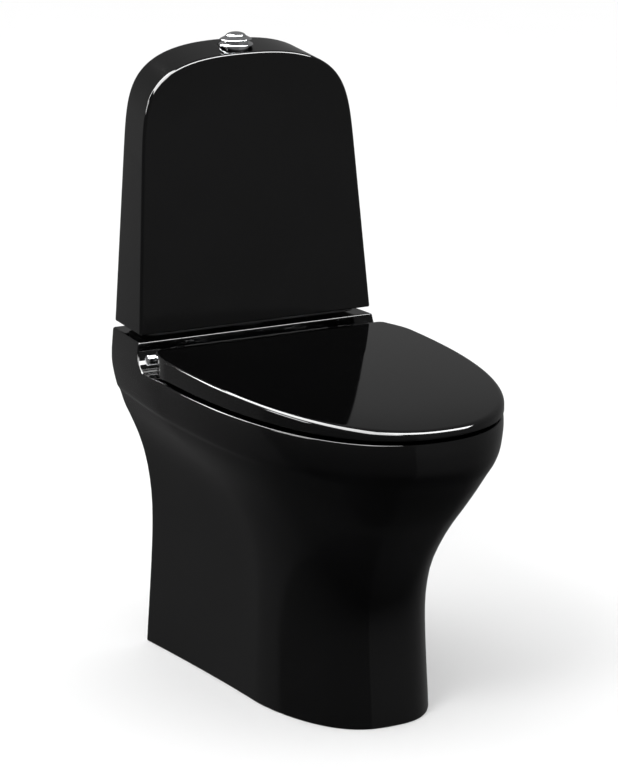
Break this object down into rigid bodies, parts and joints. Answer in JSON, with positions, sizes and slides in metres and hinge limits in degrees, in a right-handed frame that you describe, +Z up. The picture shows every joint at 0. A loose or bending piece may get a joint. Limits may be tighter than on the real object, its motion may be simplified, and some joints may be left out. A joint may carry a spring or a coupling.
{
  "type": "close coupled toilet",
  "caption": "Close coupled toilet in black glazed ceramic: skirted back-to-wall pan, slim cistern under a one-piece cover, wrap-over lid and dual flush button.",
  "frame": {"origin": "on the floor, in the middle of the object's width and depth", "axes": "+Z up, +Y towards the wall, -Y towards the front of the bowl, +X to the right seen from the front"},
  "size_m": [0.384, 0.616, 0.864],
  "materials": {
    "glazed_ceramic": "gloss black glaze",
    "gloss_resin": "polished black thermoset",
    "chrome": "mirror chrome plate",
    "black_plastic": "satin moulded",
    "white_plastic": "satin moulded",
    "grey_plastic": "satin moulded",
    "blue_plastic": "satin moulded",
    "rubber": "matt",
    "brass": "plain"
  },
  "bodies": {
    "root": {"pan": "glazed_ceramic", "hinge_bar": "chrome", "hinge_cap_left": "chrome", "hinge_cap_right": "chrome", "hinge_post_left": "chrome", "hinge_post_right": "chrome", "inner_tank": "black_plastic", "tank_wing_nut_left": "white_plastic", "tank_wing_nut_right": "white_plastic", "flush_valve_backnut": "white_plastic", "fill_valve_body": "white_plastic", "fill_valve_backnut": "white_plastic", "post_nut_left": "white_plastic", "post_nut_right": "white_plastic", "flush_valve_body": "grey_plastic", "valve_bridge": "grey_plastic", "tank_gasket": "rubber", "tank_washer_left": "rubber", "tank_washer_right": "rubber", "fill_valve_washer": "rubber", "post_washer_left": "rubber", "post_washer_right": "rubber", "tank_bolt_left": "brass", "tank_bolt_right": "brass", "full_rocker_pin": "brass", "half_rocker_pin": "brass", "float_arm_pin": "brass"},
    "cover": {"cistern_cover": "glazed_ceramic", "button_collar": "chrome", "collar_nut": "white_plastic"},
    "full_button": {"full_flush_button": "chrome", "full_flush_rod": "white_plastic"},
    "half_button": {"half_flush_button": "chrome", "half_flush_rod": "blue_plastic"},
    "full_lever": {"full_rocker": "white_plastic"},
    "half_lever": {"half_rocker": "blue_plastic"},
    "tube": {"overflow_tube": "white_plastic", "flush_seal": "rubber"},
    "half_latch": {"half_flush_latch": "blue_plastic"},
    "float": {"fill_float": "blue_plastic"},
    "float_lever": {"float_arm": "white_plastic"},
    "seat_ring": {"seat": "gloss_resin", "seat_buffer_rear_left": "rubber", "seat_buffer_rear_right": "rubber", "seat_buffer_front_left": "rubber", "seat_buffer_front_right": "rubber"},
    "lid_shell": {"lid": "gloss_resin"}
  },
  "joints": [
    {"name": "seat_hinge", "type": "hinge", "parent": "root", "child": "seat_ring", "pos_m": [0, 0.187, 0.44], "axis": [1, 0, 0], "range_deg": [-91, 0]},
    {"name": "lid_hinge", "type": "hinge", "parent": "seat_ring", "child": "lid_shell", "pos_m": [0, 0.187, 0.44], "axis": [-1, 0, 0], "range_deg": [0, 91]},
    {"name": "cover_lift", "type": "slide", "parent": "root", "child": "cover", "axis": [0, 0, 1], "range_m": [0, 0.34]},
    {"name": "full_flush_press", "type": "slide", "parent": "cover", "child": "full_button", "axis": [0, 0, -1], "range_m": [0, 0.004], "stiffness_N_per_m": 600, "springref_m": -0.003},
    {"name": "half_flush_press", "type": "slide", "parent": "cover", "child": "half_button", "axis": [0, 0, -1], "range_m": [0, 0.004], "stiffness_N_per_m": 500, "springref_m": -0.003},
    {"name": "full_rocker_turn", "type": "hinge", "parent": "root", "child": "full_lever", "pos_m": [0.03, 0.266, 0.7122], "axis": [0, 1, 0], "range_deg": [0, 34.5]},
    {"name": "half_rocker_turn", "type": "hinge", "parent": "root", "child": "half_lever", "pos_m": [-0.03, 0.266, 0.7122], "axis": [0, -1, 0], "range_deg": [0, 34.5]},
    {"name": "tube_lift", "type": "slide", "parent": "root", "child": "tube", "axis": [0, 0, 1], "range_m": [0, 0.0091]},
    {"name": "half_latch_lift", "type": "slide", "parent": "root", "child": "half_latch", "axis": [0, 0, 1], "range_m": [0, 0.0091]},
    {"name": "float_rise", "type": "slide", "parent": "root", "child": "float", "axis": [0, 0, 1], "range_m": [0, 0.005]},
    {"name": "float_arm_turn", "type": "hinge", "parent": "root", "child": "float_lever", "pos_m": [0.0835, 0.266, 0.6957], "axis": [0, 1, 0], "range_deg": [0, 25.3]}
  ],
  "couplings": [
    {"joint": "full_rocker_turn", "follows": "full_flush_press", "rad_per_m": 150},
    {"joint": "tube_lift", "follows": "full_flush_press", "ratio": 2.25},
    {"joint": "half_rocker_turn", "follows": "half_flush_press", "rad_per_m": 150},
    {"joint": "half_latch_lift", "follows": "half_flush_press", "ratio": 2.25},
    {"joint": "float_arm_turn", "follows": "float_rise", "rad_per_m": 88}
  ]
}
